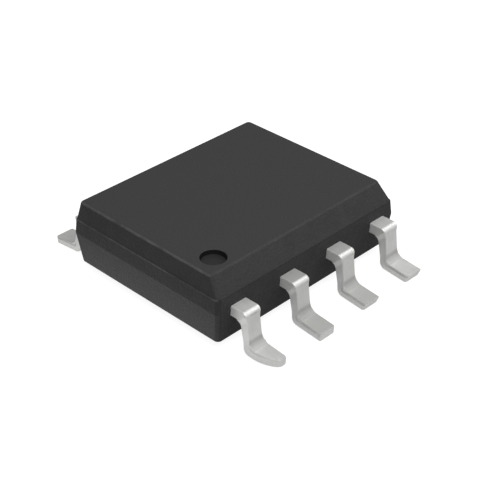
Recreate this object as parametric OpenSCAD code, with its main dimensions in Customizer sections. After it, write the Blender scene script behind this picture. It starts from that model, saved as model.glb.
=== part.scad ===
// Small-outline chip with eight formed gull-wing leads, in millimetres.
// X runs along the two rows of leads, Y across them and Z up. The origin is on
// the seating plane, under the middle of the body. Leads 1 to 4 stand on the -Y
// side from -X to +X, and leads 5 to 8 come back along the +Y side.

/* [Moulded body] */
// Length of the body along the rows of leads, at its widest line
body_l = 4.84; // [4.75:0.01:5.05]
// Width of the body across the rows of leads, at its widest line
body_w = 3.97; // [3.8:0.01:4.1]
// Height of the top face above the board
body_top = 1.535; // [1.45:0.005:1.75]
// Gap between the board and the underside of the body
stand_off = 0.215; // [0.15:0.005:0.3]
// Drop from the top of the leads to the widest line of the body
seam_drop = 0.075; // [0.04:0.005:0.08]
// Height of the near-vertical band above the widest line
band_h = 0.29; // [0.2:0.01:0.34]
// Lean of the band from upright, in degrees
band_draft = 5; // [1:0.5:7]
// Width of the fine ledge where the upper faces start on the band
ledge = 0.012; // [0.008:0.002:0.024]
// Lean of the two end faces above the ledge, in degrees
end_draft = 13; // [6:0.5:16]
// Lean of the far side face above the ledge, in degrees
side_draft = 9; // [6:0.5:16]
// Lean of the two end faces below the widest line, in degrees
low_end_draft = 6; // [3:0.5:12]
// Lean of the two side faces below the widest line, in degrees
low_side_draft = 7.5; // [3:0.5:14]
// Width in plan of the long bevel above leads 1 to 4
bevel_run = 0.28; // [0.18:0.01:0.32]
// Radius of the four upright corners
corner_r = 0.095; // [0.06:0.005:0.2]
// Radius of the edges round the top face
edge_r = 0.035; // [0.01:0.005:0.05]
// Radius of the edges round the underside
low_edge_r = 0.015; // [0.01:0.005:0.05]

/* [Marks on the body] */
// Diameter of the index dimple beside lead 1
dimple_d = 0.5; // [0.3:0.01:0.56]
// Depth of the index dimple
dimple_depth = 0.095; // [0.02:0.005:0.12]
// Distance from the end of the body to the middle of the dimple
dimple_from_end = 0.58; // [0.5:0.005:0.9]
// Distance from the side of the body to the middle of the dimple
dimple_from_side = 0.7; // [0.66:0.01:1]
// Taper of the dimple's wall, in plan
dimple_taper = 0.02; // [0:0.005:0.04]
// Diameter of the ejector mark in the underside
ejector_d = 1; // [0.6:0.1:1.4]
// Depth of the ejector mark
ejector_depth = 0.02; // [0.01:0.005:0.04]

/* [Leads] */
// Distance from one lead to the next
pitch = 1.27; // [1.24:0.01:1.3]
// Distance across the tips of the two rows
span = 6; // [5.8:0.01:6.2]
// Thickness of the lead frame
lead_t = 0.22; // [0.19:0.005:0.23]
// Thickness of the foot, which is pressed thinner
foot_t = 0.17; // [0.15:0.005:0.18]
// Width of a lead at its shoulder and its foot
lead_w = 0.4; // [0.36:0.01:0.48]
// Width of a lead down its leg
leg_w = 0.335; // [0.3:0.005:0.35]
// Height of the top of the shoulders above the board
lead_top = 0.95; // [0.88:0.005:0.97]
// Distance from the side of the body to the outer face of the leg
shoulder_out = 0.36; // [0.33:0.01:0.4]
// Lean of the leg from upright, in degrees
leg_lean = 7; // [3:0.5:10]
// Radius of the upper bend, inside and outside
bend_in_r = 0.08; // [0.05:0.01:0.1]
bend_out_r = 0.1; // [0.05:0.01:0.15]
// Radius of the lower bend, above the foot and under the heel
heel_in_r = 0.11; // [0.08:0.01:0.14]
heel_out_r = 0.26; // [0.2:0.01:0.28]
// Share of the straight leg that each blend between its widths takes
neck_share = 0.4; // [0.3:0.02:0.46]
// Distance by which the lower edge of a trimmed tip stands back
tip_back = 0.035; // [0.01:0.005:0.06]
// Slope of the foot down towards its tip, in degrees
foot_lean = 6; // [0:0.5:8]
// Radius of the sweep that draws in the outer side of the first lead's foot
tip_r = 0.75; // [0.6:0.01:0.9]

/* [Lead frame inside the body] */
// How far a lead keeps its width inside the body
root_in = 0.22; // [0.15:0.01:0.3]
// Width of the fingers of the four middle leads
finger_w = 0.56; // [0.5:0.01:0.7]
// Radius of the half-round lock notches in the fingers
lock_r = 0.07; // [0.04:0.01:0.08]
// Size of the die paddle along the rows and across them
paddle_l = 2.4; // [2.1:0.05:2.6]
paddle_w = 2; // [1.7:0.05:2.1]
// Drop of the paddle below the leads
paddle_down = 0.2; // [0.18:0.01:0.25]
// Gap in plan between the paddle and the fingers
finger_gap = 0.2; // [0.15:0.01:0.25]
// Width of the two tie bars that carry the paddle
tie_w = 0.3; // [0.2:0.02:0.4]
// Flat stretch of a tie bar beside the paddle
tie_flat = 0.25; // [0.15:0.01:0.3]
// Gap between a tie bar and the corner fingers
tie_gap = 0.35; // [0.25:0.01:0.4]
// Compound over the cut end of a tie bar
tie_cover = 0.12; // [0.08:0.01:0.2]

/* [Die and bond wires] */
// Size of the silicon die along the rows, across them and in height
die_l = 1.5; // [1.2:0.05:1.7]
die_w = 1.2; // [1:0.05:1.4]
die_t = 0.25; // [0.2:0.01:0.28]
// Thickness of the adhesive under the die, and how far it runs past the edge
attach_t = 0.025; // [0.015:0.005:0.04]
attach_margin = 0.06; // [0.03:0.01:0.1]
// Distance from the edge of the die to the middle of a bond pad
pad_in = 0.09; // [0.07:0.01:0.12]
// Distance from the middle of the die to the pads of the middle leads
pad_mid = 0.34; // [0.2:0.01:0.4]
// Distance across the die from its middle to the pads of the corner leads
pad_corner = 0.28; // [0.2:0.01:0.35]
// Diameter of the bond wire
wire_d = 0.03; // [0.024:0.002:0.036]
// Height of the wire loops above the straight line between their ends
loop_h = 0.17; // [0.12:0.01:0.2]
// Diameter and height of the ball bonds on the die
ball_d = 0.08; // [0.06:0.005:0.09]
ball_h = 0.02; // [0.016:0.002:0.03]
// Width and thickness of the stitch bonds on the fingers
stitch_w = 0.06; // [0.05:0.005:0.08]
stitch_t = 0.012; // [0.01:0.002:0.02]
// Distance from the end of a finger to the middle of its stitch
stitch_in = 0.16; // [0.12:0.01:0.2]

/* [Hidden] */
$fn = 48;

// Colours as the photo shows them, and the usual ones for what is inside
compound_colour = [0.25, 0.25, 0.25];
tin_colour = [0.72, 0.72, 0.7];
copper_colour = [0.78, 0.52, 0.36];
paste_colour = [0.66, 0.66, 0.64];
silicon_colour = [0.36, 0.38, 0.44];
gold_colour = [0.9, 0.72, 0.3];

// Thickness of the thin plates that the body is stretched over, and the length
// by which a cutter runs past the face that it cuts
skin = 0.002;
past = 0.5;

// How far a corner patch is stretched past the sides that it rounds
patch_stretch = 1.4;

// How much larger its arc is drawn, so that the arc crosses both sides cleanly
arc_growth = 1.0001;

// Heights of the body's lines
seam_z = lead_top - seam_drop;
ledge_z = seam_z + band_h;

// How far the faces stand in from the widest line, at the ledge, the top and the
// underside
band_in = band_h * tan(band_draft);
ledge_in = band_in + ledge;
top_end_in = ledge_in + (body_top - ledge_z) * tan(end_draft);
top_far_in = ledge_in + (body_top - ledge_z) * tan(side_draft);
top_bevel_in = ledge_in + bevel_run;
low_end_in = (seam_z - stand_off) * tan(low_end_draft);
low_side_in = (seam_z - stand_off) * tan(low_side_draft);

// Lines of the lead frame
lead_low = lead_top - lead_t;
wall_y = body_w / 2;
leg_y = wall_y + shoulder_out;
tip_y = span / 2;
toe_y = tip_y - tip_back;
leg_slope = tan(leg_lean);
foot_slope = tan(foot_lean);
finger_y = paddle_w / 2 + finger_gap;
finger_x = paddle_l / 2 + finger_gap;
corner_y = tie_w / 2 + tie_gap;
row_x = 1.5 * pitch;

// Levels of the paddle, the adhesive and the die
paddle_top = lead_top - paddle_down;
paddle_low = paddle_top - lead_t;
attach_top = paddle_top + attach_t;
die_top = attach_top + die_t;

// Rings and sides of a swept bond wire
wire_rings = 9;
wire_sides = 8;

// The body: two stretched forms, less the marks and all that is moulded in

// Four corner posts of one level of the body, standing in from its widest line
// by the given amounts at the ends, on the -Y side and on the +Y side
module level(z, end_in, near_in, far_in) {
  for (side = [-1, 1], y = [near_in + corner_r - wall_y, wall_y - far_in - corner_r])
    translate([side * (body_l / 2 - end_in - corner_r), y, z])
      cylinder(h = skin, r = corner_r, $fn = 32);
}

// Levels that round an edge off by r: way is 1 below a top edge and -1 above a
// low one
module rounded_edge(z, way, r, end_in, near_in, far_in) {
  for (turn = [0, 30, 60, 90]) {
    cut = r * (1 - cos(turn));
    level(z - way * r * (1 - sin(turn)), end_in + cut, near_in + cut, far_in + cut);
  }
}

// Below the ledge: the drafted lower half and the near-vertical band
module lower_form() {
  hull() {
    rounded_edge(stand_off, -1, low_edge_r, low_end_in, low_side_in, low_side_in);
    level(seam_z, 0, 0, 0);
    level(ledge_z - skin, band_in, band_in, band_in);
  }
}

// Above the ledge: drafted ends and far side, and the long bevel on the near one
module upper_form() {
  hull() {
    level(ledge_z - skin, ledge_in, ledge_in, ledge_in);
    rounded_edge(body_top - skin, 1, edge_r, top_end_in, top_bevel_in, top_far_in);
  }
}

// The round index dimple, with a slightly tapered wall and a flat floor
module index_dimple() {
  translate([dimple_from_end - body_l / 2, dimple_from_side - wall_y, body_top - dimple_depth]) {
    cylinder(h = dimple_depth, d1 = dimple_d - 2 * dimple_taper, d2 = dimple_d);
    translate([0, 0, dimple_depth]) cylinder(h = past, d = dimple_d);
  }
}

// The shallow mark that the ejector leaves in the middle of the underside
module ejector_mark() {
  translate([0, 0, stand_off - past]) cylinder(h = past + ejector_depth, d = ejector_d);
}

module body() {
  color(compound_colour)
    difference() {
      union() {
        lower_form();
        upper_form();
      }
      index_dimple();
      ejector_mark();
      for (number = [1:8]) {
        pin(number);
        bond_wire(number);
      }
      die_paddle();
      die_attach();
      die();
    }
}

// A lead: a strip bent twice to the gull-wing shape, with its finger inside

// Turn a vector of the side view to length 1
function unit(v) = v / norm(v);

// The patch between a sharp corner and the arc that rounds it. From the corner
// its two sides run towards the points a and b. The patch is stretched from the
// arc's centre, so that it runs past the sides and doesn't merely touch them.
module corner_patch(corner, a, b, r) {
  to_a = unit(a - corner);
  to_b = unit(b - corner);
  half = acos(to_a * to_b) / 2;
  centre = corner + unit(to_a + to_b) * r / sin(half);
  kite = [centre, corner + to_a * r / tan(half), corner, corner + to_b * r / tan(half)];
  difference() {
    polygon([for (point = kite) centre + (point - centre) * patch_stretch]);
    translate(centre) circle(r = r * arc_growth);
  }
}

// In the side view the distance from the middle of the body runs along the first
// axis and the height along the second. The point at height z of the leg's face that
// would meet the top of the shoulder at y:
function on_leg(y, z) = [y + (lead_top - z) * leg_slope, z];

// The point where that face meets the line of the foot, up by rise from its sole
function at_foot(y, rise) = on_leg(y,
  (rise + (toe_y - y - lead_top * leg_slope) * foot_slope) / (1 - leg_slope * foot_slope));

// Side view of the formed strip
module gull_wing() {
  foot_rise = foot_t / cos(foot_lean);
  root = [wall_y - root_in, lead_top];
  root_low = [wall_y - root_in, lead_low];
  crown = [leg_y, lead_top];
  instep = at_foot(leg_y, foot_rise);
  toe = [tip_y, foot_rise - tip_back * foot_slope];
  toe_low = [toe_y, 0];
  heel = at_foot(leg_y - foot_t / cos(leg_lean), 0);
  armpit = on_leg(leg_y - lead_t / cos(leg_lean), lead_low);
  difference() {
    union() {
      polygon([root, crown, instep, toe, toe_low, heel, armpit, root_low]);
      corner_patch(instep, crown, toe, heel_in_r);
      corner_patch(armpit, root_low, heel, bend_in_r);
    }
    corner_patch(crown, root, instep, bend_out_r);
    corner_patch(heel, armpit, toe_low, heel_out_r);
  }
}

// Cutters that narrow the leg from both sides. Their round ends blend it into
// its full width just under the upper bend and just above the lower one.
module leg_waist() {
  depth = (lead_w - leg_w) / 2;
  leg_high = lead_low - bend_in_r;
  leg_low = at_foot(leg_y, foot_t / cos(foot_lean)).y + heel_in_r;
  reach = (leg_high - leg_low) * neck_share;
  neck_r = (reach * reach + depth * depth) / (2 * depth);
  high = leg_high - reach;
  low = leg_low + reach;
  for (side = [-1, 1])
    translate([side * (leg_w / 2 + neck_r), 0, 0]) {
      for (z = [low, high])
        translate([0, -wall_y, z]) rotate([90, 0, 0]) cylinder(h = tip_y, r = neck_r);
      translate([-neck_r, -wall_y - tip_y, low]) cube([2 * neck_r, tip_y, high - low]);
    }
}

// The foot of lead 1 is drawn in along its outer side by a wide round sweep, which
// starts where the foot leaves the heel
module round_tip() {
  start_y = at_foot(leg_y, 0).x;
  translate([-lead_w / 2, -start_y, -past])
    linear_extrude(lead_low + past)
      difference() {
        translate([-past, -tip_r]) square([past + tip_r, tip_r]);
        translate([tip_r, 0]) circle(r = tip_r, $fn = 96);
      }
}

// Plan of the finger of a middle lead, which ends short of the paddle
module straight_finger() {
  start = root_in - wall_y;
  difference() {
    translate([-finger_w / 2, start]) square([finger_w, -finger_y - start]);
    for (side = [-1, 1])
      translate([side * finger_w / 2, (start - finger_y) / 2]) circle(r = lock_r);
  }
}

// Plan of the finger of a corner lead, which turns in beside the end of the
// paddle: its inner edge stands at finger_x from the middle of the body
module corner_finger() {
  start = root_in - wall_y;
  inner = row_x - finger_x;
  slant = inner - lead_w / 2;
  difference() {
    polygon([
      [-lead_w / 2, start],
      [lead_w / 2, start],
      [inner, start + slant],
      [inner, -corner_y],
      [-lead_w / 2, -corner_y]
    ]);
    translate([-lead_w / 2, (start - corner_y) / 2]) circle(r = lock_r);
  }
}

// One lead on the -Y side, standing across the origin. A corner lead's finger
// turns in towards +X.
module lead(corner, first) {
  difference() {
    rotate([90, 0, -90])
      translate([0, 0, -lead_w / 2]) linear_extrude(lead_w) gull_wing();
    leg_waist();
    if (first) round_tip();
  }
  translate([0, 0, lead_low])
    linear_extrude(lead_t)
      if (corner) corner_finger();
      else straight_finger();
}

// A lead in its place: numbers 1 to 4 along -Y, and 5 to 8 the same row turned
module pin(number) {
  slot = (number - 1) % 4;
  color(tin_colour)
    rotate([0, 0, number > 4 ? 180 : 0])
      translate([slot * pitch - row_x, 0, 0])
        mirror([slot == 3 ? 1 : 0, 0, 0])
          lead(slot == 0 || slot == 3, number == 1);
}

// The paddle and its two tie bars, one stamping with the paddle set down

// Side view of a tie bar from the end of the paddle out to its cut end
module tie_profile() {
  step_x = paddle_l / 2 + tie_flat;
  end_x = body_l / 2 - tie_cover;
  polygon([
    [paddle_l / 2 - tie_w, paddle_low],
    [step_x, paddle_low],
    [step_x + paddle_down, lead_low],
    [end_x, lead_low],
    [end_x, lead_top],
    [step_x + paddle_down, lead_top],
    [step_x, paddle_top],
    [paddle_l / 2 - tie_w, paddle_top]
  ]);
}

module die_paddle() {
  color(copper_colour) {
    translate([-paddle_l / 2, -paddle_w / 2, paddle_low]) cube([paddle_l, paddle_w, lead_t]);
    for (turn = [0, 180])
      rotate([90, 0, turn])
        translate([0, 0, -tie_w / 2]) linear_extrude(tie_w) tie_profile();
  }
}

// A flat block that lies across the middle of the body
module slab(l, w, h, z) {
  translate([-l / 2, -w / 2, z]) cube([l, w, h]);
}

module die_attach() {
  color(paste_colour)
    slab(die_l + 2 * attach_margin, die_w + 2 * attach_margin, attach_t, paddle_top);
}

module die() {
  color(silicon_colour) slab(die_l, die_w, die_t, attach_top);
}

// Bond wires: a ball on the die, a swept loop and a flattened stitch

// Where a wire leaves the die and where it meets its finger, for a place on the
// -Y row: places 0 and 3 are the corner leads
function pad_at(slot) =
  slot == 0 ? [pad_in - die_l / 2, -pad_corner] :
  slot == 3 ? [die_l / 2 - pad_in, -pad_corner] :
  [slot == 1 ? -pad_mid : pad_mid, pad_in - die_w / 2];
function stitch_at(slot) =
  slot == 0 ? [-finger_x - stitch_in, -corner_y - stitch_in] :
  slot == 3 ? [finger_x + stitch_in, -corner_y - stitch_in] :
  [slot * pitch - row_x, -finger_y - stitch_in];

// Share of the way along the wire at each ring: rings crowd where it rises
function along(ring) = pow(ring / wire_rings, 2);

// Height of a stitch's middle above the finger, so that its flat side lies on it
stitch_rise = stitch_t / 2 * cos(180 / wire_sides);

// Middle of the wire: a steep rise off the ball, then a long fall to the stitch
function wire_point(pad, stitch, share) = [
  pad.x + (stitch.x - pad.x) * share,
  pad.y + (stitch.y - pad.y) * share,
  (die_top + ball_h) * (1 - share) + (lead_top + stitch_rise) * share
    + loop_h * sin(180 * pow(share, 0.45))
];

// One ring of the sweep: across is level, and rise stands square to the wire
function wire_ring(centre, across, rise, wide, high) = [
  for (side = [0:wire_sides - 1])
    let (turn = (side + 0.5) * 360 / wire_sides)
      centre + across * wide / 2 * cos(turn) + rise * high / 2 * sin(turn)
];

// Direction of the wire at a ring: upright where it leaves the ball
function wire_way(pad, stitch, ring) =
  ring == 0 ? [0, 0, 1] :
  unit(wire_point(pad, stitch, along(ring + 0.5)) - wire_point(pad, stitch, along(ring - 0.5)));

// The whole wire as one sweep: the squashed ball on the die, the round loop, and
// the stitch pressed flat on the finger
module wire_sweep(pad, stitch) {
  plan = unit([stitch.x - pad.x, stitch.y - pad.y, 0]);
  across = [-plan.y, plan.x, 0];
  ball = [for (step = [[0, 0.8], [0.25, 1], [0.7, 1], [1, 0.75]])
    wire_ring([pad.x, pad.y, die_top + ball_h * step[0]], across, -plan,
      ball_d * step[1], ball_d * step[1])
  ];
  loop = [for (ring = [0:wire_rings - 1])
    wire_ring(wire_point(pad, stitch, along(ring)), across,
      cross(wire_way(pad, stitch, ring), across), wire_d, wire_d)
  ];
  flat = [for (reach = [0, stitch_w])
    wire_ring(wire_point(pad, stitch, 1) + plan * reach, across, [0, 0, 1],
      stitch_w, stitch_t)
  ];
  rings = concat(ball, loop, flat);
  last = len(rings) - 1;
  polyhedron(
    points = [for (ring = rings, point = ring) point],
    faces = concat(
      [[for (side = [0:wire_sides - 1]) side]],
      [[for (side = [wire_sides - 1:-1:0]) last * wire_sides + side]],
      [for (ring = [0:last - 1], side = [0:wire_sides - 1])
        let (next = (side + 1) % wire_sides)
          [ring * wire_sides + side, (ring + 1) * wire_sides + side,
            (ring + 1) * wire_sides + next, ring * wire_sides + next]]
    ),
    convexity = 4
  );
}

// A bond wire in its place, numbered as its lead
module bond_wire(number) {
  slot = (number - 1) % 4;
  color(gold_colour)
    rotate([0, 0, number > 4 ? 180 : 0]) wire_sweep(pad_at(slot), stitch_at(slot));
}

body();
pin(1);  // pin_1
pin(2);  // pin_2
pin(3);  // pin_3
pin(4);  // pin_4
pin(5);  // pin_5
pin(6);  // pin_6
pin(7);  // pin_7
pin(8);  // pin_8
die_paddle();
die_attach();
die();
bond_wire(1);  // bond_wire_1
bond_wire(2);  // bond_wire_2
bond_wire(3);  // bond_wire_3
bond_wire(4);  // bond_wire_4
bond_wire(5);  // bond_wire_5
bond_wire(6);  // bond_wire_6
bond_wire(7);  // bond_wire_7
bond_wire(8);  // bond_wire_8
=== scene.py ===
# %% [markdown]
# # A small-outline chip in Blender
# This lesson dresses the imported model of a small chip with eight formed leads. The
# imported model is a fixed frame: its sizes are never changed here. The lesson adds the
# rounded edges, the soft shoulders of the leads and the finishes that a camera sees.
# All shapes are drawn in millimetres, as on a chip's drawing, and are scaled to
# metres once, when a piece is finished.

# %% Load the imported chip
import math

import bmesh
import bpy
from mathutils import Matrix, Vector


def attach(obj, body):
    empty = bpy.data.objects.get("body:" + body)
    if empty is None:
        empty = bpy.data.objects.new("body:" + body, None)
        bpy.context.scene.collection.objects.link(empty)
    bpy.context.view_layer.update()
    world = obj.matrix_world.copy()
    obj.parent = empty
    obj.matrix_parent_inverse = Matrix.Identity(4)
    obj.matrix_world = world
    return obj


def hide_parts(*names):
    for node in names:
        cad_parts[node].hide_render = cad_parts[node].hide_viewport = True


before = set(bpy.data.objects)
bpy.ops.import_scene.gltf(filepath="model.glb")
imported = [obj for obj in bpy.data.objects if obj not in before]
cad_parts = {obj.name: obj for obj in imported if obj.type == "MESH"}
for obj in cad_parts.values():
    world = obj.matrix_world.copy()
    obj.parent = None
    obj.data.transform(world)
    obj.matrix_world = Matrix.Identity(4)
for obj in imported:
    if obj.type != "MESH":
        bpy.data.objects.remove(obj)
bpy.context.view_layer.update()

# %% [markdown]
# ## The camera
# A product camera with a long lens stands above the corner between lead 1 and the end
# of the body. It could be aimed with a Track To constraint, but a place and three
# angles say the same thing without anything live in the scene: turn about the
# upright, tip down, and a very small roll.

# %% Stand the camera at its place
camera_data = bpy.data.cameras.new("product_camera")
camera = bpy.data.objects.new("product_camera", camera_data)
bpy.context.scene.collection.objects.link(camera)
bpy.context.scene.camera = camera
focal_pixels, picture_pixels = 1249.794, 500
camera_data.sensor_width = 36
camera_data.lens = focal_pixels / picture_pixels * camera_data.sensor_width
camera_data.clip_start, camera_data.clip_end = 0.001, 2

camera_place = (-0.014554, -0.014569, 0.013905)
turn, tip, roll = (math.radians(angle) for angle in (-45.768, -33.616, 0.137))
camera.matrix_world = (
    Matrix.Translation(camera_place)
    @ Matrix.Rotation(turn, 4, "Z")
    @ Matrix.Rotation(math.pi / 2 + tip, 4, "X")
    @ Matrix.Rotation(roll, 4, "Z")
)
print("lens", round(camera_data.lens, 2), "mm at", [round(v, 4) for v in camera.location])

# %% [markdown]
# ## The sizes of the chip
# The shapes below start from the same lengths as the solid model, in millimetres. A
# designer keeps them in one place, so that the body and the leads always agree.

# %% Write down the lengths of the body
MM = 0.001

body_l, body_w, body_top, stand_off = 4.84, 3.97, 1.535, 0.215
lead_top, seam_drop, band_h, ledge_w, bevel_run = 0.95, 0.075, 0.29, 0.012, 0.28
seam_z = lead_top - seam_drop
ledge_z = seam_z + band_h


def draft(height, degrees):
    return height * math.tan(math.radians(degrees))


band_in = draft(band_h, 5)
ledge_in = band_in + ledge_w
top_end_in = ledge_in + draft(body_top - ledge_z, 13)
top_far_in = ledge_in + draft(body_top - ledge_z, 9)
top_bevel_in = ledge_in + bevel_run
low_end_in = draft(seam_z - stand_off, 6)
low_side_in = draft(seam_z - stand_off, 7.5)
print("widest line at", round(seam_z, 3), "mm, ledge at", round(ledge_z, 3), "mm")

# %% Write down the lengths of the leads
lead_t, foot_t, lead_w, leg_w = 0.22, 0.17, 0.4, 0.33
shoulder_out, root_in = 0.36, 0.22
pitch, tip_y, tip_back = 1.27, 3.0, 0.012
leg_lean, foot_lean = math.radians(7), math.radians(6)
wall_y = body_w / 2
leg_y, root_y = wall_y + shoulder_out, wall_y - root_in
row_x = 1.5 * pitch
print("leads stand every", pitch, "mm, with their tips at", tip_y, "mm from the middle")

# %% [markdown]
# ## Finishing a piece
# Every piece ends the same way. Its faces point outwards, the solid it stands for is
# hidden, and it is given the body it moves with and the finish it takes. A weighted normal
# modifier keeps the flat faces flat and lets only the narrow rounded edges turn, which
# is what makes a small edge catch the light as a real one does. Measured in metres,
# the faces of a lead are too small for it and nothing changes, so it works on the mesh
# while that is in millimetres. Its result becomes the mesh of the piece and is then
# scaled to metres.

# %% A helper that weighs the normals by the areas of the faces
def weigh_normals(piece):
    normals = piece.modifiers.new("even_normals", "WEIGHTED_NORMAL")
    normals.keep_sharp = True
    graph = bpy.context.evaluated_depsgraph_get()
    kept = {"preserve_all_data_layers": True, "depsgraph": graph}
    drawn = piece.data
    piece.data = bpy.data.meshes.new_from_object(piece.evaluated_get(graph), **kept)
    piece.modifiers.clear()
    bpy.data.meshes.remove(drawn)

# %% A helper that turns a bmesh into a piece
def finish_piece(name, bm, material, node, sharp=40):
    bmesh.ops.remove_doubles(bm, verts=bm.verts, dist=0.0002)
    bmesh.ops.recalc_face_normals(bm, faces=bm.faces)
    for edge in bm.edges:
        edge.smooth = edge.calc_face_angle(0) < math.radians(sharp)
    for face in bm.faces:
        face.smooth = True
    mesh = bpy.data.meshes.new(name)
    bm.to_mesh(mesh)
    bm.free()
    mesh.materials.append(material)
    piece = bpy.data.objects.new(name, mesh)
    bpy.context.scene.collection.objects.link(piece)
    weigh_normals(piece)
    piece.data.transform(Matrix.Scale(MM, 4))
    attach(piece, "root")
    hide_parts(node)
    print(name, "has", len(piece.data.polygons), "faces")

# %% [markdown]
# ## Marking what an edge or a face is
# Some finishes follow the shape: a rounded edge gets a painted highlight, partly rubbing
# wear, a dimple gets painted shade, and a cut side of strip gets a strip of painted shade
# on one half. Texture coordinates can't tell these apart, so the mesh carries the answer
# in numbers on each point, which the material reads by name. A number fades evenly from
# point to point. The numbers get their places before anything is drawn, because adding
# one later renews every point of a bmesh.

# %% Helpers that start a drawing and mark its points
def start_drawing():
    bm = bmesh.new()
    for name in ("rounded_edge", "dull_corner", "across_side", "painted_shade", "plating"):
        bm.verts.layers.float.new(name)
    return bm


def mark_points(bm, name, points, value=1.0):
    layer = bm.verts.layers.float[name]
    for point in points:
        point[layer] = value

# %% [markdown]
# ## Steps that come back
# Extruding, rounding and cutting are done many times below. A bmesh operator has other
# defaults than the same tool in the editor. So the settings of a bevel are written
# once, here, and each rounding names its edges or points, its radius and its segments.
# NEAR is how far off a point may lie and still count as level.

# %% Helpers that pick out points, round corners and cut
NEAR = 0.0005


def points_in(made):
    return [item for item in made["geom"] if isinstance(item, bmesh.types.BMVert)]


def round_off(bm, geom, radius, segments, affect="EDGES", clamp_overlap=False):
    made = bmesh.ops.bevel(bm, geom=geom, offset=radius, offset_type="OFFSET", segments=segments,
                           profile=0.5, affect=affect, material=-1, clamp_overlap=clamp_overlap)
    return made["faces"]


def cut_through(bm, place, way):
    bmesh.ops.bisect_plane(bm, geom=bm.verts[:] + bm.edges[:] + bm.faces[:], dist=0.00001,
                           plane_co=place, plane_no=way)

# %% [markdown]
# ## Shared effects as node groups
# Mould compound, tin, copper and gold share a few effects. Each is a node group with
# named sockets, so a material only says how much of it there is. The groups work on
# Object coordinates in millimetres, and they put out masks, tones and heights only.

# %% Helpers for building node groups
def new_group(name, inputs, outputs):
    group = bpy.data.node_groups.new(name, "ShaderNodeTree")
    for label, kind, value in inputs:
        socket = group.interface.new_socket(label, in_out="INPUT", socket_type=kind)
        if value is not None:
            socket.default_value = value
    for label, kind in outputs:
        group.interface.new_socket(label, in_out="OUTPUT", socket_type=kind)
    return group, group.nodes.new("NodeGroupInput"), group.nodes.new("NodeGroupOutput")


def add_node(tree, kind, **settings):
    node = tree.nodes.new(kind)
    for name, value in settings.items():
        setattr(node, name, value)
    return node


def math_node(tree, operation, a, b=None, clamp=False):
    node = add_node(tree, "ShaderNodeMath", operation=operation, use_clamp=clamp)
    for socket, value in zip(node.inputs, (a, b)):
        if isinstance(value, (int, float)):
            socket.default_value = value
        elif value is not None:
            tree.links.new(value, socket)
    return node.outputs[0]


def times(tree, a, b):
    return math_node(tree, "MULTIPLY", a, b)


def noise_node(tree, vector, scale, detail=2.0, roughness=0.5):
    node = add_node(tree, "ShaderNodeTexNoise")
    tree.links.new(vector, node.inputs["Vector"])
    for name, value in (("Scale", scale), ("Detail", detail), ("Roughness", roughness)):
        if isinstance(value, (int, float)):
            node.inputs[name].default_value = value
        else:
            tree.links.new(value, node.inputs[name])
    return node.outputs["Fac"]


def range_node(tree, value, low, high, to_low=0.0, to_high=1.0):
    node = add_node(tree, "ShaderNodeMapRange", interpolation_type="SMOOTHSTEP")
    tree.links.new(value, node.inputs["Value"])
    for name, amount in (("From Min", low), ("From Max", high),
                         ("To Min", to_low), ("To Max", to_high)):
        node.inputs[name].default_value = amount
    return node.outputs["Result"]

# %% [markdown]
# ### Grain
# A mould for chips is spark-eroded, which leaves a fine pebbled skin on the compound.
# The same fine pebbling, much shallower, lies on tin plate and on cured adhesive. A
# picture of grain would repeat; two noises of different size never do. Fine noise
# gives the pebbles and a coarse one makes their depth wander.

# %% Build the grain group
grain_group, grain_in, grain_out = new_group(
    "surface_grain",
    [("Vector", "NodeSocketVector", None), ("Grains per mm", "NodeSocketFloat", 30.0),
     ("Wander", "NodeSocketFloat", 0.4)],
    [("Height", "NodeSocketFloat"), ("Tone", "NodeSocketFloat")],
)
grain_place, per_mm = grain_in.outputs["Vector"], grain_in.outputs["Grains per mm"]
fine = noise_node(grain_group, grain_place, per_mm, 2.0, 0.55)
coarse = noise_node(grain_group, grain_place, 3.1, 3.0, 0.6)
around_zero = math_node(grain_group, "SUBTRACT", coarse, 0.5)
wander = times(grain_group, around_zero, grain_in.outputs["Wander"])
grain_height = math_node(grain_group, "ADD", fine, wander)
grain_group.links.new(grain_height, grain_out.inputs["Height"])
grain_group.links.new(coarse, grain_out.inputs["Tone"])
print("grain group:", len(grain_group.nodes), "nodes")

# %% [markdown]
# ### Drawing marks
# Strip metal is rolled and wire is drawn, so both keep faint lines along their
# length, and a silicon wafer keeps the lines of its grinding. Stretching a noise
# along one axis makes such lines. The stretch is an input, because each metal runs
# in its own direction.

# %% Build the drawing-mark group
lines_group, lines_in, lines_out = new_group(
    "drawing_marks",
    [("Vector", "NodeSocketVector", None), ("Stretch", "NodeSocketVector", (40.0, 1.5, 8.0))],
    [("Height", "NodeSocketFloat"), ("Mask", "NodeSocketFloat")],
)
stretch = add_node(lines_group, "ShaderNodeVectorMath", operation="MULTIPLY")
lines_group.links.new(lines_in.outputs["Vector"], stretch.inputs[0])
lines_group.links.new(lines_in.outputs["Stretch"], stretch.inputs[1])
line_noise = noise_node(lines_group, stretch.outputs[0], 1.0, 2.0, 0.6)
lines_group.links.new(line_noise, lines_out.inputs["Height"])
lines_group.links.new(range_node(lines_group, line_noise, 0.35, 0.65), lines_out.inputs["Mask"])
print("drawing-mark group:", len(lines_group.nodes), "nodes")

# %% [markdown]
# ### Handling specks
# A chip that has been in a tray carries a few tiny pale specks and rubs. A cell
# pattern places one chance of a speck in each cell, and a noise keeps only some of
# them, so they look scattered and not laid out.

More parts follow.
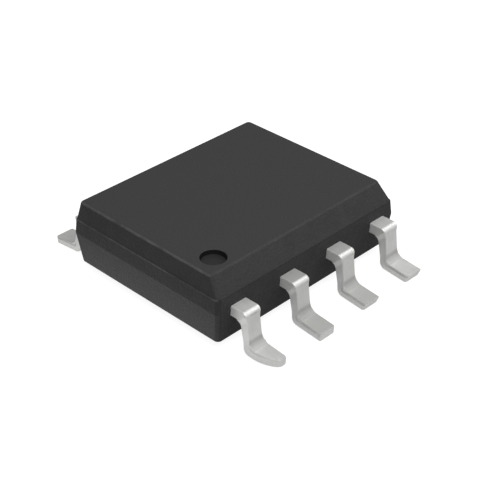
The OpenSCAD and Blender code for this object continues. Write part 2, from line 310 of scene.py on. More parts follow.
# %% Build the speck group
speck_group, speck_in, speck_out = new_group(
    "handling_specks",
    [("Vector", "NodeSocketVector", None), ("Cells per mm", "NodeSocketFloat", 4.0),
     ("Size", "NodeSocketFloat", 0.12)],
    [("Mask", "NodeSocketFloat")],
)
cells = add_node(speck_group, "ShaderNodeTexVoronoi", feature="F1")
speck_group.links.new(speck_in.outputs["Vector"], cells.inputs["Vector"])
speck_group.links.new(speck_in.outputs["Cells per mm"], cells.inputs["Scale"])
inside = math_node(speck_group, "LESS_THAN", cells.outputs["Distance"], speck_in.outputs["Size"])
scatter = noise_node(speck_group, speck_in.outputs["Vector"], 2.3, 2.0)
some = range_node(speck_group, scatter, 0.52, 0.6)
speck_group.links.new(times(speck_group, inside, some), speck_out.inputs["Mask"])
print("speck group:", len(speck_group.nodes), "nodes")

# %% [markdown]
# ## A start for every material
# Each material begins with the object's own coordinates, turned into millimetres so
# that all its numbers read as sizes on the chip, and one Principled shader.

# %% A helper that starts a material
def start_material(name, roughness, metallic=0.0):
    material = bpy.data.materials.new(name)
    material.use_nodes = True
    tree = material.node_tree
    shader = tree.nodes["Principled BSDF"]
    shader.inputs["Roughness"].default_value = roughness
    shader.inputs["Metallic"].default_value = metallic
    place = add_node(tree, "ShaderNodeTexCoord")
    in_mm = add_node(tree, "ShaderNodeVectorMath", operation="SCALE")
    in_mm.inputs["Scale"].default_value = 1 / MM
    tree.links.new(place.outputs["Object"], in_mm.inputs[0])
    return material, tree, shader, in_mm.outputs[0]


def use_group(tree, group, vector, **values):
    node = add_node(tree, "ShaderNodeGroup", node_tree=group)
    tree.links.new(vector, node.inputs["Vector"])
    for name, value in values.items():
        node.inputs[name.replace("_", " ")].default_value = value
    return node


def mix_colour(tree, factor, first, second):
    node = add_node(tree, "ShaderNodeMix", data_type="RGBA")
    for socket, value in ((node.inputs["Factor"], factor), (node.inputs["A"], first),
                          (node.inputs["B"], second)):
        if isinstance(value, tuple):
            socket.default_value = (*value, 1.0)
        elif isinstance(value, (int, float)):
            socket.default_value = value
        else:
            tree.links.new(value, socket)
    return node.outputs["Result"]


def grey(level):
    return (level, level, level)


def mark_node(tree, name):
    return add_node(tree, "ShaderNodeAttribute", attribute_type="GEOMETRY",
                    attribute_name=name).outputs["Fac"]


def bump_from(tree, shader, height, distance, strength=1.0):
    bump = add_node(tree, "ShaderNodeBump")
    bump.inputs["Distance"].default_value = distance * MM
    bump.inputs["Strength"].default_value = strength
    tree.links.new(height, bump.inputs["Height"])
    tree.links.new(bump.outputs["Normal"], shader.inputs["Normal"])

# %% Helpers that tell how high a surface lies and which way it faces
def height_of(tree, place):
    parts = add_node(tree, "ShaderNodeSeparateXYZ")
    tree.links.new(place, parts.inputs[0])
    return parts.outputs["Z"]


def facing_of(tree):
    shape = add_node(tree, "ShaderNodeNewGeometry")
    facing = add_node(tree, "ShaderNodeSeparateXYZ")
    tree.links.new(shape.outputs["Normal"], facing.inputs[0])
    return facing.outputs


def size_of(tree, value):
    return math_node(tree, "ABSOLUTE", value)

# %% [markdown]
# ## Mould compound
# The body is black epoxy filled with fine silica. It is never quite black: the silica
# scatters a little light, and the matt skin reflects the room as a soft grey. The
# colour is therefore very dark, and the grey comes from the gloss of the surface.
# The top face is painted a little paler, as painted light from above, and the walls are
# less glossy than the top. Rounded edges get a painted highlight in patches, partly
# rubbing wear, and the dimple and the ledge along the long sides get painted shade.

# %% Make the compound
def compound_finish():
    material, tree, shader, place = start_material("mould_compound", 0.6)
    grain = use_group(tree, grain_group, place, Grains_per_mm=21.0, Wander=0.5)
    specks = use_group(tree, speck_group, place, Cells_per_mm=3.0, Size=0.05)
    edge_patch_noise = use_group(tree, grain_group, place, Grains_per_mm=2.2, Wander=0.4)
    facing, height = facing_of(tree), height_of(tree, place)
    corner, painted_shade = mark_node(tree, "dull_corner"), mark_node(tree, "painted_shade")
    # Painted highlight, partly rubbing wear: the marked rounded edges are painted pale in patches.
    wear_and_highlight_patches = range_node(tree, edge_patch_noise.outputs["Tone"], 0.3, 0.7, 0.3, 1.0)
    edge = times(tree, mark_node(tree, "rounded_edge"), wear_and_highlight_patches)
    # Painted light: the top face is painted paler for the light it gets from above.
    top = times(tree, range_node(tree, facing["Z"], 0.9, 0.99),
                range_node(tree, height, body_top - 0.01, body_top - 0.004))
    tone = range_node(tree, grain.outputs["Tone"], 0.3, 0.7)
    colour = mix_colour(tree, tone, (0.016, 0.016, 0.0162), (0.022, 0.022, 0.0222))
    # Painted light on the top, painted highlight and wear on the edges, real handling specks, and
    # painted shade in the dimple and on the ledge.
    for mask, share, level in ((top, 1.0, 0.031), (edge, 0.9, 0.085),
                               (specks.outputs["Mask"], 0.25, 0.08), (painted_shade, 0.8, 0.005)):
        colour = mix_colour(tree, times(tree, mask, share), colour, grey(level))
    tree.links.new(colour, shader.inputs["Base Color"])
    above = math_node(tree, "MAXIMUM", range_node(tree, height, seam_z - 0.01, seam_z + 0.01),
                      range_node(tree, size_of(tree, facing["Y"]), 0.8, 0.9))
    wall = range_node(tree, size_of(tree, facing["Z"]), 0.3, 0.4, 0.13, 0.0)
    quiet = math_node(tree, "ADD", times(tree, above, wall), times(tree, corner, 0.1))
    shine = math_node(tree, "SUBTRACT", 0.6, times(tree, painted_shade, 0.3))
    tree.links.new(math_node(tree, "SUBTRACT", shine, quiet), shader.inputs["Specular IOR Level"])
    rough = math_node(tree, "ADD", 0.58, times(tree, grain.outputs["Height"], 0.12))
    rough = math_node(tree, "ADD", rough, times(tree, corner, 0.1), clamp=True)
    tree.links.new(rough, shader.inputs["Roughness"])
    bump_from(tree, shader, grain.outputs["Height"], 0.016, 0.8)
    return material


compound = compound_finish()
print(compound.name, "is ready")

# %% [markdown]
# ## Matt tin
# The leads are copper alloy plated with matt tin. Tin is a pale warm grey metal whose
# fine crystals spread the light, so it has no sharp reflections. The plating differs
# from lead to lead, which shows most on faces that look up. The sides were cut by a
# die. The sides, the low upright faces of the foot and the outer bend carry a painted
# highlight, partly the burnish of the cut and the fold, and the sides carry a strip of
# painted shade, in patches, beside the foot's upper face. The inner bend, a dark band at
# the end of the leg and the low rounded edges of the foot get painted shade. Most of
# these are found from the way a surface faces and from its height.

# %% Masks that find the cut sides and the bends
def facing_masks(tree, height):
    facing = facing_of(tree)
    sideways = size_of(tree, facing["X"])
    side = range_node(tree, sideways, 0.75, 0.95)
    upright = range_node(tree, size_of(tree, facing["Z"]), 0.75, 0.97, 1.0, 0.0)
    low_cut = times(tree, range_node(tree, height, 0.18, 0.2, 1.0, 0.0), upright)
    slant = times(tree, range_node(tree, facing["Z"], 0.1, 0.5),
                  range_node(tree, facing["Z"], 0.95, 0.99, 1.0, 0.0))
    # The low rounded edges of the foot, which get painted shade.
    low_rim = times(tree, slant, range_node(tree, sideways, 0.2, 0.4))
    low_rim = times(tree, low_rim, range_node(tree, height, 0.24, 0.3, 1.0, 0.0))
    slant = times(tree, slant, range_node(tree, sideways, 0.2, 0.5, 1.0, 0.0))
    return side, low_cut, slant, low_rim, range_node(tree, facing["Z"], 0.1, 0.9, 0.2, 0.77)

# %% Masks for the painted shade on the cut sides and the inner bend
# A strip of painted shade, in patches, on the cut sides beside the foot's upper face.
def side_shade_strip(tree, across, side, height, patches):
    strip = times(tree, range_node(tree, across, 0.0, 0.16),
                  range_node(tree, across, 0.22, 0.48, 1.0, 0.0))
    low = range_node(tree, height, 0.19, 0.34, 1.0, 0.15)
    strip = times(tree, times(tree, strip, side), low)
    return times(tree, strip, range_node(tree, patches, 0.35, 0.6, 0.35, 1.0))


# A band of painted shade at the end of the leg.
def bend_mark(tree, side, height):
    band = times(tree, range_node(tree, height, 0.27, 0.33),
                 range_node(tree, height, 0.35, 0.44, 1.0, 0.0))
    return times(tree, band, range_node(tree, side, 0.0, 0.6, 1.0, 0.0))

# %% Make the tin
def tin_finish():
    material, tree, shader, place = start_material("matt_tin", 0.5, 0.65)
    grain = use_group(tree, grain_group, place, Grains_per_mm=42.0, Wander=0.3)
    patches = use_group(tree, grain_group, place, Grains_per_mm=7.0, Wander=0.2)
    marks = use_group(tree, lines_group, place, Stretch=(34.0, 3.0, 3.0))
    specks = use_group(tree, speck_group, place, Cells_per_mm=6.0, Size=0.09)
    height, across = height_of(tree, place), mark_node(tree, "across_side")
    side, low_cut, slant, low_rim, level_part = facing_masks(tree, height)
    side_shade = side_shade_strip(tree, across, side, height, patches.outputs["Tone"])
    tone = range_node(tree, grain.outputs["Tone"], 0.3, 0.7)
    colour = mix_colour(tree, tone, (0.76, 0.757, 0.743), (0.84, 0.837, 0.825))
    dull = times(tree, mark_node(tree, "plating"), level_part)
    blotch = range_node(tree, patches.outputs["Tone"], 0.5, 0.7, 0.0, 0.12)
    # Painted highlight: the outer bend, the cut sides and the low upright faces are painted brighter,
    # partly for burnish.
    crown = times(tree, slant, range_node(tree, height, 0.75, 0.82))
    burnish_and_highlight = times(tree, math_node(tree, "MAXIMUM", side, low_cut), 0.5)
    burnish_and_highlight = math_node(tree, "MAXIMUM", burnish_and_highlight, times(tree, crown, 0.7))
    # Painted shade: the inner bend, the band at the end of the leg and the low rounded edges of the
    # foot.
    instep = times(tree, slant, range_node(tree, height, 0.4, 0.5, 1.0, 0.0))
    shade = math_node(tree, "MAXIMUM", times(tree, instep, 0.42),
                      times(tree, bend_mark(tree, side, height), 0.5))
    shade = math_node(tree, "MAXIMUM", shade, times(tree, low_rim, 0.3))
    for mask, tint in ((dull, (0.56, 0.56, 0.54)), (blotch, (0.5, 0.497, 0.48)),
                       (times(tree, marks.outputs["Mask"], 0.12), (0.52, 0.515, 0.5)),
                       (times(tree, specks.outputs["Mask"], 0.3), (0.42, 0.41, 0.39)),
                       (burnish_and_highlight, (0.96, 0.957, 0.945)),
                       (times(tree, side_shade, 0.5), (0.3, 0.297, 0.287)),
                       (shade, (0.36, 0.357, 0.35))):
        colour = mix_colour(tree, mask, colour, tint)
    tree.links.new(colour, shader.inputs["Base Color"])
    rough = math_node(tree, "ADD", 0.48, times(tree, grain.outputs["Height"], 0.14))
    dulled = times(tree, math_node(tree, "MAXIMUM", side_shade, instep), 0.2)
    dulled = math_node(tree, "MAXIMUM", dulled, times(tree, low_rim, 0.35))
    tree.links.new(math_node(tree, "ADD", rough, dulled, clamp=True), shader.inputs["Roughness"])
    height = math_node(tree, "ADD", grain.outputs["Height"], times(tree, marks.outputs["Height"], 0.4))
    bump_from(tree, shader, height, 0.004, 0.5)
    return material


tin = tin_finish()
print(tin.name, "is ready")

# %% [markdown]
# ## The body
# The compound is moulded in two halves that meet at the top of the leads. Seen from
# above it is a rectangle with rounded corners, and each level stands in a little from
# the widest line. A box with tapers could do it, but the long bevel above leads 1 to
# 4 makes the taper different on each side. So one rounded outline is extruded from
# level to level, and each new level is stretched and slid to its own insets. Close
# levels below and above the fine ledge keep its marks from spreading over the walls.

# %% Helpers for the levels of the body
def outline_matrix(z, end_in, near_in, far_in):
    wide = (body_l - 2 * end_in) / body_l
    deep = (body_w - near_in - far_in) / body_w
    slide = Matrix.Translation((0, (near_in - far_in) / 2, z))
    return slide @ Matrix.Diagonal((wide, deep, 1, 1))


def extrude_level(bm, face, z, insets, last, keep=False):
    made = bmesh.ops.extrude_face_region(bm, geom=[face])
    here = outline_matrix(z, *insets)
    bmesh.ops.transform(bm, verts=points_in(made), matrix=here @ last.inverted())
    if not keep:
        bmesh.ops.delete(bm, geom=[face], context="FACES_ONLY")
    return next(item for item in made["geom"] if isinstance(item, bmesh.types.BMFace)), here

# %% Start from a rounded rectangle at the widest line
body_bm = start_drawing()
bmesh.ops.create_grid(body_bm, x_segments=1, y_segments=1, size=0.5)
bmesh.ops.scale(body_bm, vec=(body_l, body_w, 1), verts=body_bm.verts)
corner_r = 0.095
round_off(body_bm, body_bm.verts[:], corner_r, 6, "VERTICES")
outline = body_bm.faces[:][0]
print("the outline has", len(outline.verts), "points")

# %% Draw the two halves out of it, level by level
start = Matrix.Identity(4)
cap, last = outline, start
low_ledge, high_ledge = (band_in,) * 3, (ledge_in,) * 3
top_insets = (top_end_in, top_bevel_in, top_far_in)
guard, guard_share, ledge_rise = 0.014, 0.95, 0.003
above_ledge = ledge_z + ledge_rise
share_up = guard / (body_top - above_ledge)
below_insets = [inset * guard_share for inset in low_ledge]
guard_insets = [low + (high - low) * share_up for low, high in zip(high_ledge, top_insets)]
for z, insets in ((ledge_z - guard, below_insets), (ledge_z, low_ledge), (above_ledge, high_ledge),
                  (above_ledge + guard, guard_insets), (body_top, top_insets)):
    cap, last = extrude_level(body_bm, cap, z - seam_z, insets, last, keep=cap is outline)
extrude_level(body_bm, outline, stand_off - seam_z, (low_end_in, low_side_in, low_side_in), start)
bmesh.ops.translate(body_bm, vec=(0, 0, seam_z), verts=body_bm.verts)
body_bm.normal_update()
print("the plain body has", len(body_bm.faces), "faces")

# %% [markdown]
# ### Rounded edges of the body
# A mould can't have knife edges. The rim of the top face is rounded by about 0.035 mm,
# the underside and the widest line by much less. Bevelling whole rings of edges keeps
# the corners even. Only points inside a rounding are marked, so that the paler colour,
# a painted highlight, ends where the rounding ends. The rims of the two ends and the
# ledge near the ends get the strongest painted highlight.

# %% Round the rings of edges
def ring_at(bm, z):
    return [edge for edge in bm.edges
            if all(abs(point.co.z - z) < NEAR for point in edge.verts) and not edge.is_wire]


def inside_points(faces):
    points = dict.fromkeys(point for face in faces for point in face.verts)
    rounding = set(faces)
    return [point for point in points if rounding.issuperset(point.link_faces)]


def round_ring(bm, z, radius, segments, mark):
    rounded = inside_points(round_off(bm, ring_at(bm, z), radius, segments, clamp_overlap=True))
    mark_points(bm, "rounded_edge", rounded, mark)
    return rounded


corners = [point for point in body_bm.verts
           if min(abs(point.normal.x), abs(point.normal.y)) > 0.2 * point.normal.xy.length]
mark_points(body_bm, "dull_corner", corners, 0.6)
# Painted shade on the fine ledge, and a painted highlight on it near the two ends.
ledge = [point for point in body_bm.verts if -NEAR < point.co.z - ledge_z < ledge_rise + NEAR]
mark_points(body_bm, "painted_shade", ledge, 0.6)
ledge = [point for point in ledge if abs(point.co.x) > body_l / 2 - 0.06]
mark_points(body_bm, "rounded_edge", ledge)
mark_points(body_bm, "painted_shade", ledge, 0.0)
rim = round_ring(body_bm, body_top, 0.034, 5, 1.0)
body_bm.normal_update()
mark_points(body_bm, "rounded_edge",
            [point for point in rim if abs(point.normal.x) < abs(point.normal.y)], 0.15)
print("top rim:", len(rim), "points")
print("underside rim:", len(round_ring(body_bm, stand_off, 0.012, 3, 0.3)), "points")
print("widest line:", len(round_ring(body_bm, seam_z, 0.006, 2, 0.1)), "points")

# %% [markdown]
# ### The index dimple
# A round pin in the mould leaves a shallow dimple beside lead 1. A Boolean could cut
# it, but the top is one flat face, so it is simpler to take the face away, lay a
# circle in its place, fill the ring between the two outlines, and push the circle
# down with a slight taper. The rim is then rounded like the other edges and gets a faint
# painted highlight, and the points below it get painted shade, the wall more than the floor.

# %% Sink a round recess into a flat face
def sink_recess(bm, face, centre, diameter, depth, taper, rim, sides=64):
    outer = list(face.edges)
    bmesh.ops.delete(bm, geom=[face], context="FACES_ONLY")
    ring = bmesh.ops.create_circle(bm, cap_ends=False, radius=diameter / 2, segments=sides,
                                   matrix=Matrix.Translation(centre))["verts"]
    inner = list(dict.fromkeys(edge for point in ring for edge in point.link_edges))
    bmesh.ops.triangle_fill(bm, use_beauty=True, use_dissolve=False, edges=outer + inner)
    made = bmesh.ops.extrude_edge_only(bm, edges=inner)
    low = points_in(made)
    shrink = 1 - 2 * taper / diameter
    down = -depth if centre.z > seam_z else depth
    bmesh.ops.scale(bm, vec=(shrink, shrink, 1), verts=low, space=Matrix.Translation(-centre))
    bmesh.ops.translate(bm, vec=(0, 0, down), verts=low)
    low_edges = [item for item in made["geom"] if isinstance(item, bmesh.types.BMEdge)]
    bmesh.ops.contextual_create(bm, geom=low_edges)
    mark_points(bm, "rounded_edge", inside_points(round_off(bm, inner, rim, 3)), 0.15)
    round_off(bm, [edge for edge in low_edges if edge.is_valid], rim * 0.8, 3)
    # Painted shade inside the recess, darkest on its wall.
    for point in bm.verts:
        below = abs(point.co.z - centre.z)
        if (point.co - centre).xy.length < diameter / 2 and 0.004 < below < depth + 0.001:
            mark_points(bm, "painted_shade", [point], 0.35 if below > depth - NEAR else 1.0)
    print("a recess of", diameter, "mm sunk at", tuple(round(v, 2) for v in centre))


def flat_face_at(bm, z):
    level = [face for face in bm.faces if all(abs(point.co.z - z) < NEAR for point in face.verts)]
    return max(level, key=lambda face: face.calc_area())


from_end, from_side = 0.58, 0.7
index_dimple = {"diameter": 0.5, "depth": 0.095, "taper": 0.02, "rim": 0.012}
ejector_mark = {"diameter": 1.0, "depth": 0.02, "taper": 0.004, "rim": 0.006}
dimple_centre = Vector((from_end - body_l / 2, from_side - wall_y, body_top))
sink_recess(body_bm, flat_face_at(body_bm, body_top), dimple_centre, **index_dimple)
sink_recess(body_bm, flat_face_at(body_bm, stand_off), Vector((0, 0, stand_off)), **ejector_mark)

# %% Finish the body
finish_piece("moulded_body", body_bm, compound, "body")

# %% [markdown]
# ## The leads
# A lead is punched from flat strip and then bent twice, out and down to the board.
# It could be a box swept along a path, but the press makes the outer bend crisper
# than the inner one. So the side view is drawn as one flat face with sharp corners,
# each corner is rounded by its own radius, and the face is drawn out sideways to the
# width of the strip. The foot is pressed thinner than the rest and slopes down to its
# tip.

# %% A helper that joins points into a ring and fills it
def filled_ring(bm, points):
    edges = [bm.edges.get((a, b)) or bm.edges.new((a, b))
             for a, b in zip(points, points[1:] + points[:1])]
    return bmesh.ops.contextual_create(bm, geom=edges)["faces"][0]

# %% The side view with its rounded bends
def on_leg(y, z):
    return y + (lead_top - z) * math.tan(leg_lean), z


def at_foot(y, rise):
    slope, fall = math.tan(leg_lean), math.tan(foot_lean)
    run = tip_y - tip_back - y - lead_top * slope
    return on_leg(y, (rise + run * fall) / (1 - slope * fall))


def side_view(bm, at_x, cut_back):
    rise = foot_t / math.cos(foot_lean)
    armpit = on_leg(leg_y - lead_t / math.cos(leg_lean), lead_top - lead_t)
    heel = at_foot(leg_y - foot_t / math.cos(leg_lean), 0)
    outer = [(root_y, lead_top), (leg_y, lead_top), at_foot(leg_y, rise),
             (tip_y, rise - tip_back * math.tan(foot_lean))]
    inner = [(tip_y - cut_back, 0), heel, armpit, (root_y, lead_top - lead_t)]
    points = [bm.verts.new((at_x, -y, z)) for y, z in outer + inner]
    mark_points(bm, "across_side", points[len(outer):])
    filled_ring(bm, points)
    upper, lower = math.pi / 4 + leg_lean / 2, math.pi / 4 + (leg_lean + foot_lean) / 2
    for index, radius, half, steps in ((1, 0.11, upper, 8), (2, 0.14, lower, 10),
                                       (5, 0.15, lower, 12), (6, 0.08, upper, 8)):
        round_off(bm, [points[index]], radius / math.tan(half), steps, "VERTICES")
    return bm.faces[:][0]

# %% [markdown]
# ### The narrow leg
# The strip is punched a little narrower along the leg, with soft shoulders above and
# below. The width therefore depends on how far along the strip a point lies, and both
# bends are passed on a slant. Slanting cuts give each shoulder its rings of points,
# and each point is moved in to the width that belongs to its place.

# %% Squeeze the leg between its two shoulders
upper_shoulder, lower_shoulder = (0.02, 0.2), (0.54, 0.84)


def ease(value, low, high):
    part = min(max((value - low) / (high - low), 0), 1)
    return part * part * (3 - 2 * part)


def along_strip(point):
    return -point.co.y - leg_y + lead_top - point.co.z


def squeeze_leg(bm):
    for low, high in (upper_shoulder, lower_shoulder):
        for step in range(9):
            distance = low + (high - low) * step / 8
            cut_through(bm, (0, -leg_y - distance, lead_top), (0, 1, 1))
    for point in bm.verts:
        place = along_strip(point)
        narrow = ease(place, *upper_shoulder) - ease(place, *lower_shoulder)
        bmesh.ops.scale(bm, vec=(1 - narrow * (1 - leg_w / lead_w), 1, 1), verts=[point])

# %% [markdown]
# ### Worn tip corners
# The cut end of a foot has two upright corners. Mostly one of them is blunt, and on
# leads 1, 3 and 4 both are. They are rounded while the foot is still a plain strip.
# The ends of leads 3 and 4 are also cut back under.

# %% Round the upright corners of a tip
undercut = {3: 0.07, 4: 0.07}
blunt_corners = {1: (0.05, 0.07), 3: (0.045, 0.025), 4: (0.025, 0.045)}


def round_tip(bm, corner_radii):
    end_y = undercut[3] + 0.02 - tip_y
    upright = [edge for edge in bm.edges if all(point.co.y < end_y for point in edge.verts)
               and abs(edge.verts[0].co.z - edge.verts[1].co.z) > foot_t / 2]
    upright.sort(key=lambda edge: edge.verts[0].co.x)
    for edge, radius in zip(upright, corner_radii):
        if radius:
            round_off(bm, [edge], radius, 6)

# %% [markdown]
# ### The drawn-in foot of lead 1
# The foot of lead 1 is shaped differently from the others: its outer side curves in
# towards the tip. The foot gets cuts across it, and the points of that side are slid
# onto a wide arc.

# %% Sweep in one side of a foot
def sweep_foot(bm):
    radius, start, reach, steps = 0.75, at_foot(leg_y, 0)[0], tip_y - 0.13, 9
    for step in range(steps + 1):
        cut_through(bm, (0, -start - (reach - start) * step / steps, 0), (0, 1, 0))
    for point in bm.verts:
        beyond = -point.co.y - start
        if point.co.x < 0 and beyond > 0:
            draw_in = radius - math.sqrt(radius ** 2 - beyond ** 2)
            bmesh.ops.translate(bm, vec=(draw_in, 0, 0), verts=[point])

# %% [markdown]
# ### Fingers in the body
# Inside the compound each lead ends in a flat finger, where a bond wire lands. The
# plan is drawn as one outline and drawn up to the thickness of the strip. A half-round
# notch in its edge locks it into the compound: turning one point about the notch's
# middle draws its arc.

# %% Draw the round notch of a finger
lock_r = 0.07


def notch_arc(bm, middle, start_angle):
    first = bm.verts.new((middle[0] + lock_r * math.cos(start_angle),
                          middle[1] + lock_r * math.sin(start_angle), 0))
    bmesh.ops.spin(bm, geom=[first], cent=(*middle, 0), axis=(0, 0, 1), angle=-math.pi, steps=10,
                   use_merge=False)
    return first


def chain_from(first):
    chain, edge = [first], first.link_edges[0]
    while edge is not None:
        chain.append(edge.other_vert(chain[-1]))
        edge = next((e for e in chain[-1].link_edges if e is not edge), None)
    return chain

# %% Draw the plan of a finger
finger_w, finger_x = 0.56, 1.4
corner_end, straight_end = 0.5, 1.2


def add_finger(bm, corner):
    start, half = -root_y, finger_w / 2
    if corner:
        inner, end = row_x - finger_x, -corner_end
        notches = [((-lead_w / 2, (start + end) / 2), math.pi / 2)]
        plan = [(-lead_w / 2, start), (lead_w / 2, start), (inner, start + inner - lead_w / 2),
                (inner, end), (-lead_w / 2, end), 0]
    else:
        end = -straight_end
        middle = (start + end) / 2
        notches = [((half, middle), -math.pi / 2), ((-half, middle), math.pi / 2)]
        plan = [(-half, start), (half, start), 0, (half, end), (-half, end), 1]
    loop = []
    for step in plan:
        if isinstance(step, int):
            loop += chain_from(notch_arc(bm, *notches[step]))
        else:
            loop.append(bm.verts.new((*step, 0)))
    top = points_in(bmesh.ops.extrude_face_region(bm, geom=[filled_ring(bm, loop)]))
    bmesh.ops.translate(bm, vec=(0, 0, lead_t), verts=top)
    bmesh.ops.translate(bm, vec=(0, 0, lead_top - lead_t), verts=loop + top)

# %% [markdown]
# ### Soft edges and the shaded strip
# Plating rounds every edge of the strip by a hair. On the two cut sides, a strip
# beside the upper face gets painted shade. The points of the side view carry a
# number that is 0 at the upper face and 1 at the lower one, so the material knows how
# far across the strip it is. Lead 1 gets no shaded strip, so it is 0 all over.

# %% Find the edges to soften
def long_edges(bm):
    return [edge for edge in bm.edges if edge.is_manifold
            and edge.calc_face_angle(0) > math.radians(50)
            and min(point.co.y for point in edge.verts) < -root_y - 0.001
            and not all(abs(point.co.y + root_y) < NEAR for point in edge.verts)]

# %% [markdown]
# ### Eight leads
# One function makes them all. The second corner lead of a row is mirrored, and the far
# row is turned half round. What differs from lead to lead goes by number: the worn
# corners of the tip, its undercut, the drawn-in foot of lead 1 and how dull the
# plating is.

# %% Make each lead and put it in its row
plating = (0.0, 0.95, 0.75, 0.0, 0.5, 0.9, 0.2, 0.6)


def make_lead(number):
    slot = (number - 1) % 4
    bm = start_drawing()
    face = side_view(bm, -lead_w / 2, undercut.get(number, tip_back))
    made = bmesh.ops.extrude_face_region(bm, geom=[face])
    bmesh.ops.translate(bm, vec=(lead_w, 0, 0), verts=points_in(made))
    bm.normal_update()
    round_tip(bm, blunt_corners.get(number, (0, 0.05)))
    squeeze_leg(bm)
    if number == 1:
        sweep_foot(bm)
        mark_points(bm, "across_side", bm.verts, 0.0)
    mark_points(bm, "plating", bm.verts, plating[number - 1])
    bm.normal_update()
    round_off(bm, long_edges(bm), 0.034 if number == 1 else 0.022, 3)
    add_finger(bm, slot in (0, 3))
    if slot == 3:
        bmesh.ops.scale(bm, vec=(-1, 1, 1), verts=bm.verts)
        bmesh.ops.reverse_faces(bm, faces=bm.faces)
    bmesh.ops.translate(bm, vec=(slot * pitch - row_x, 0, 0), verts=bm.verts)
    if number > 4:
        bmesh.ops.rotate(bm, cent=(0, 0, 0), matrix=Matrix.Rotation(math.pi, 3, "Z"), verts=bm.verts)
    finish_piece(f"gull_wing_lead_{number}", bm, tin, f"pin_{number}")


for number in range(1, 9):
    make_lead(number)

# %% [markdown]
# ## The parts inside
# The paddle, adhesive, die and wires are hidden in the compound and have the right
# shapes already, so they keep the solid model's meshes. They still get real finishes,
# because a part library is also opened up and looked into.

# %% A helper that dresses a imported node
def dress_node(node, material):
    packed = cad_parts[node]
    packed.data.materials.clear()
    packed.data.materials.append(material)


# %% [markdown]
# ### Copper alloy, adhesive, silicon and gold
# The paddle is bare rolled copper alloy. The adhesive is epoxy full of silver flakes,
# grey with a faint sparkle. The die is polished silicon, dark with a cold sheen, and
# its ground sides show lines. Bond wire is drawn gold.

# %% Make the copper alloy and the gold
def drawn_metal(name, light, dark, roughness, stretch, depth):
    material, tree, shader, place = start_material(name, roughness, 1.0)
    marks = use_group(tree, lines_group, place, Stretch=stretch)
    grain = use_group(tree, grain_group, place, Grains_per_mm=30.0, Wander=0.4)
    colour = mix_colour(tree, marks.outputs["Mask"], dark, light)
    colour = mix_colour(tree, times(tree, grain.outputs["Tone"], 0.25), colour, dark)
    tree.links.new(colour, shader.inputs["Base Color"])
    rough = math_node(tree, "ADD", roughness - 0.08, times(tree, marks.outputs["Height"], 0.16))
    tree.links.new(rough, shader.inputs["Roughness"])
    bump_from(tree, shader, marks.outputs["Height"], depth, 0.5)
    return material


copper_alloy = drawn_metal("rolled_copper_alloy", (0.78, 0.46, 0.3), (0.62, 0.34, 0.21), 0.36,
                           (2.0, 45.0, 10.0), 0.004)
bond_gold = drawn_metal("drawn_gold", (0.95, 0.68, 0.26), (0.84, 0.56, 0.19), 0.24,
                        (60.0, 60.0, 12.0), 0.0006)
dress_node("die_paddle", copper_alloy)
for number in range(1, 9):
    dress_node(f"bond_wire_{number}", bond_gold)

# %% Make the adhesive and the silicon
def adhesive_finish():
    material, tree, shader, place = start_material("silver_filled_adhesive", 0.55, 0.35)
    grain = use_group(tree, grain_group, place, Grains_per_mm=22.0, Wander=0.6)
    flakes = use_group(tree, speck_group, place, Cells_per_mm=18.0, Size=0.3)
    colour = mix_colour(tree, grain.outputs["Tone"], (0.42, 0.42, 0.41), (0.58, 0.58, 0.56))
    shiny = times(tree, flakes.outputs["Mask"], 0.6)
    colour = mix_colour(tree, shiny, colour, (0.86, 0.86, 0.85))
    tree.links.new(colour, shader.inputs["Base Color"])
    bump_from(tree, shader, grain.outputs["Height"], 0.006, 0.6)
    return material


die_top = 1.0


def silicon_finish():
    material, tree, shader, place = start_material("polished_silicon", 0.16, 0.55)
    marks = use_group(tree, lines_group, place, Stretch=(4.0, 4.0, 60.0))
    grain = use_group(tree, grain_group, place, Grains_per_mm=16.0, Wander=0.2)
    ground = range_node(tree, height_of(tree, place), die_top - 0.01, die_top, 1.0, 0.0)
    colour = mix_colour(tree, grain.outputs["Tone"], (0.1, 0.11, 0.15), (0.15, 0.16, 0.21))
    colour = mix_colour(tree, times(tree, ground, marks.outputs["Mask"]), colour, (0.2, 0.2, 0.22))
    tree.links.new(colour, shader.inputs["Base Color"])
    rough = math_node(tree, "ADD", 0.14, times(tree, ground, 0.25))
    tree.links.new(rough, shader.inputs["Roughness"])
    bump_from(tree, shader, times(tree, ground, marks.outputs["Height"]), 0.003, 0.5)
    return material


dress_node("die_attach", adhesive_finish())
dress_node("die", silicon_finish())
print("inner parts dressed")

# %% [markdown]
# ## The floor
# The chip stands on plain white card. To a camera, and to metal that mirrors it, the
# card should be white, but under soft light its own colour would come out grey. So
# rays from the camera and mirrored rays see the card's colour with the missing
# brightness added, and all other rays see plain card. The shadow stays, because part
# of what the camera sees is still the lit card. Mirrored rays see a bright oval beside
# the end of the body and dimmer card around it, which is what makes the lower half of
# that end paler than the faces above it.

# %% Lay the card
card_grey, card_part, card_bright, card_dim, card_seen = 0.8, 0.3, 0.86, 0.24, 0.9
oval_middle, oval_reach = (-2.7, 0.3), (0.55, 2.3)


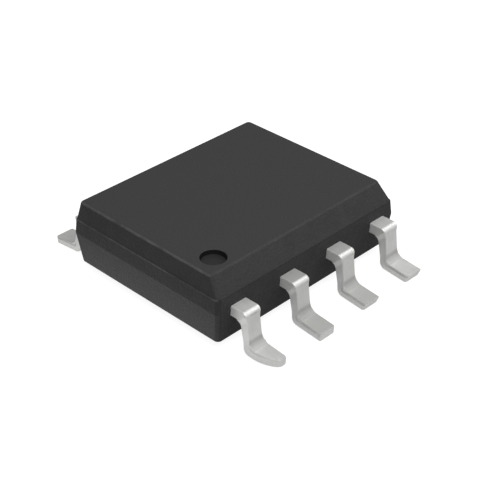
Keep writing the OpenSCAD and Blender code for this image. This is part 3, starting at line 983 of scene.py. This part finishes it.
def card_finish():
    material = bpy.data.materials.new("white_card")
    material.use_nodes = True
    tree = material.node_tree
    tree.nodes.clear()
    out = add_node(tree, "ShaderNodeOutputMaterial")
    plain = add_node(tree, "ShaderNodeBsdfDiffuse")
    plain.inputs["Color"].default_value = (*grey(card_grey), 1)
    seen = add_node(tree, "ShaderNodeBsdfDiffuse")
    seen.inputs["Color"].default_value = (*grey(card_part), 1)
    ray = add_node(tree, "ShaderNodeLightPath").outputs
    place = add_node(tree, "ShaderNodeTexCoord")
    oval = add_node(tree, "ShaderNodeVectorMath", operation="MULTIPLY_ADD")
    shrink = [1 / (reach * MM) for reach in oval_reach]
    slide = [-middle / reach for middle, reach in zip(oval_middle, oval_reach)]
    oval.inputs[1].default_value = (*shrink, 0)
    oval.inputs[2].default_value = (*slide, 0)
    tree.links.new(place.outputs["Object"], oval.inputs[0])
    across = add_node(tree, "ShaderNodeVectorMath", operation="LENGTH")
    tree.links.new(oval.outputs[0], across.inputs[0])
    # A painted pool of light: the card glows brightest in an oval that only mirrored rays see.
    fall = range_node(tree, across.outputs["Value"], 0.7, 1.8, card_bright, card_dim)
    mirrored = times(tree, fall, math_node(tree, "SUBTRACT", 1.0, ray["Is Camera Ray"]))
    added = math_node(tree, "ADD", mirrored, times(tree, ray["Is Camera Ray"], card_seen))
    glow = add_node(tree, "ShaderNodeEmission")
    tree.links.new(added, glow.inputs["Strength"])
    both = add_node(tree, "ShaderNodeAddShader")
    tree.links.new(seen.outputs[0], both.inputs[0])
    tree.links.new(glow.outputs[0], both.inputs[1])
    direct = math_node(tree, "MAXIMUM", ray["Is Camera Ray"], ray["Is Glossy Ray"])
    direct = math_node(tree, "MAXIMUM", direct, ray["Is Transmission Ray"])
    choice = add_node(tree, "ShaderNodeMixShader")
    tree.links.new(direct, choice.inputs[0])
    tree.links.new(plain.outputs[0], choice.inputs[1])
    tree.links.new(both.outputs[0], choice.inputs[2])
    tree.links.new(choice.outputs[0], out.inputs["Surface"])
    return material


floor_bm = bmesh.new()
bmesh.ops.create_grid(floor_bm, x_segments=1, y_segments=1, size=0.5)
floor_mesh = bpy.data.meshes.new("white_card")
floor_bm.to_mesh(floor_mesh)
floor_bm.free()
floor_mesh.materials.append(card_finish())
floor = bpy.data.objects.new("white_card", floor_mesh)
bpy.context.scene.collection.objects.link(floor)

# %% [markdown]
# ## The light
# A studio for small parts is a white tent: soft light from all sides, a larger soft
# box above, and a small box to the right that draws a soft bright line along the outer
# bends of the leads. The level is plain, so that a colour comes out about as it is
# written. Behind everything the camera sees white, and the light isn't raised by it.

# %% Hang the soft boxes
chip_middle = Vector((0, 0, 0.0008))


def soft_box(name, size, place, radiance):
    data = bpy.data.lights.new(name, "AREA")
    data.shape = "RECTANGLE"
    data.size, data.size_y = size
    data.energy = radiance * math.pi * size[0] * size[1]
    box = bpy.data.objects.new(name, data)
    bpy.context.scene.collection.objects.link(box)
    box.location = place
    box.rotation_euler = (chip_middle - Vector(place)).to_track_quat("-Z", "Y").to_euler()
    print(name, "hangs", round(Vector(place).length, 3), "m away")


world = bpy.data.worlds.new("tent")
bpy.context.scene.world = world
world.use_nodes = True
sky = world.node_tree
tent_light = sky.nodes["Background"]
tent_light.inputs["Color"].default_value = (1, 1, 1, 1)
tent_light.inputs["Strength"].default_value = 0.3
backdrop = add_node(sky, "ShaderNodeBackground")
backdrop.inputs["Color"].default_value = (1, 1, 1, 1)
backdrop.inputs["Strength"].default_value = 1.0
ray, seen_or_lit = add_node(sky, "ShaderNodeLightPath"), add_node(sky, "ShaderNodeMixShader")
sky.links.new(ray.outputs["Is Camera Ray"], seen_or_lit.inputs[0])
sky.links.new(tent_light.outputs[0], seen_or_lit.inputs[1])
sky.links.new(backdrop.outputs[0], seen_or_lit.inputs[2])
sky.links.new(seen_or_lit.outputs[0], sky.nodes["World Output"].inputs["Surface"])
soft_box("overhead_box", (0.12, 0.12), (-0.045, -0.055, 0.14), 3.2)
soft_box("front_box", (0.052, 0.04), (0.0557, -0.0284, 0.0657), 2.75)

# %% [markdown]
# ## Leave the scene as other renders expect it
# The view transform is Standard, so that a written colour is the colour that is seen.

# %% Set the view transform and finish
bpy.context.scene.view_settings.view_transform = "Standard"
bpy.context.view_layer.update()
